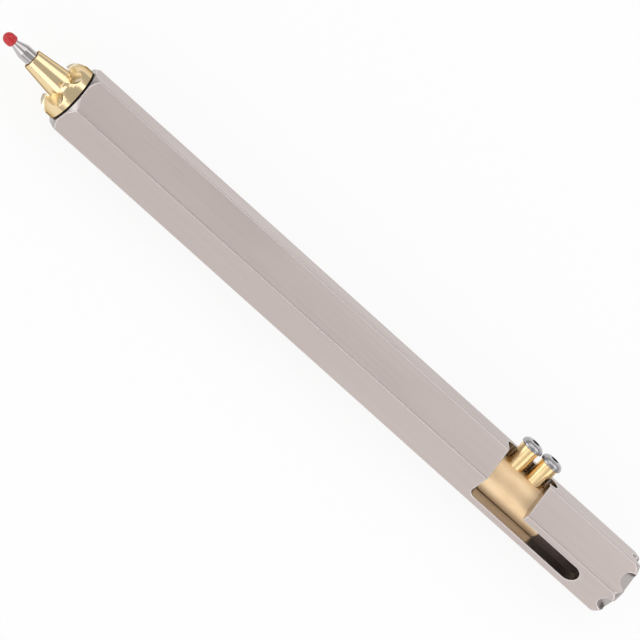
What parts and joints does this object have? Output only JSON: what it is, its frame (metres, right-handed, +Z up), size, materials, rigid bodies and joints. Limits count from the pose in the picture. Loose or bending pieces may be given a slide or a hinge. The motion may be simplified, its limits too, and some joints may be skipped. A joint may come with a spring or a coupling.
{
  "type": "bolt action ballpoint pen",
  "caption": "Hexagonal metal pen with a grooved brass nose, a ball tip under a small cap bead, and a sliding, turning bolt with two pegs in a side window.",
  "frame": {"origin": "middle of the flat of the barrel that the pen lies on", "axes": "X runs along the pen with the writing tip toward -X; +Z is up, out of the flat that the bolt's window is centred on; the lock is on the +Y side and the retracting slot on the -Y side"},
  "size_m": [0.1282, 0.0133, 0.0104],
  "materials": {
    "steel": "satin, finely brushed lengthwise",
    "nose_brass": "turned and polished",
    "washer_rubber": "matte black",
    "spring_steel": "bright drawn wire",
    "tip_steel": "turned, bright",
    "ball_carbide": "polished",
    "refill_plastic": "moulded, off white",
    "tube_metal": "drawn tube, plain",
    "ink": "wet, blue black",
    "grease": "clear grease, pale",
    "bead_rubber": "soft, slightly glossy red",
    "bolt_brass": "satin turned",
    "screw_steel": "bright, round head"
  },
  "bodies": {
    "barrel": {"barrel": "steel", "return_spring": "spring_steel"},
    "refill": {"refill_tip": "tip_steel", "writing_ball": "ball_carbide", "refill_neck": "refill_plastic", "refill_tube": "tube_metal", "refill_ink": "ink", "refill_follower": "grease", "refill_plug": "refill_plastic"},
    "bolt": {"bolt": "bolt_brass", "peg_sleeve_front": "bolt_brass", "peg_sleeve_rear": "bolt_brass", "peg_screw_front": "screw_steel", "peg_screw_rear": "screw_steel"},
    "bead": {"tip_bead": "bead_rubber"},
    "washer": {"nose_washer": "washer_rubber"},
    "nose": {"nose_cone": "nose_brass"}
  },
  "joints": [
    {"name": "bolt_slide", "type": "slide", "parent": "barrel", "child": "refill", "axis": [1, 0, 0], "range_m": [-0.0014, 0.00168], "deforming": ["return_spring"]},
    {"name": "bolt_turn", "type": "hinge", "parent": "refill", "child": "bolt", "pos_m": [0.035, 0, 0.0051], "axis": [1, 0, 0], "range_deg": [0, 120]},
    {"name": "bead_pull", "type": "slide", "parent": "refill", "child": "bead", "axis": [-1, 0, 0], "range_m": [0, 0.006]},
    {"name": "nose_advance", "type": "slide", "parent": "barrel", "child": "washer", "axis": [-1, 0, 0], "range_m": [0, 0.006]},
    {"name": "nose_turn", "type": "hinge", "parent": "washer", "child": "nose", "pos_m": [-0.0571, 0, 0.0051], "axis": [-1, 0, 0], "range_deg": [0, 2880]}
  ],
  "couplings": [
    {"joint": "nose_turn", "follows": "nose_advance", "rad_per_m": 8377.6}
  ]
}
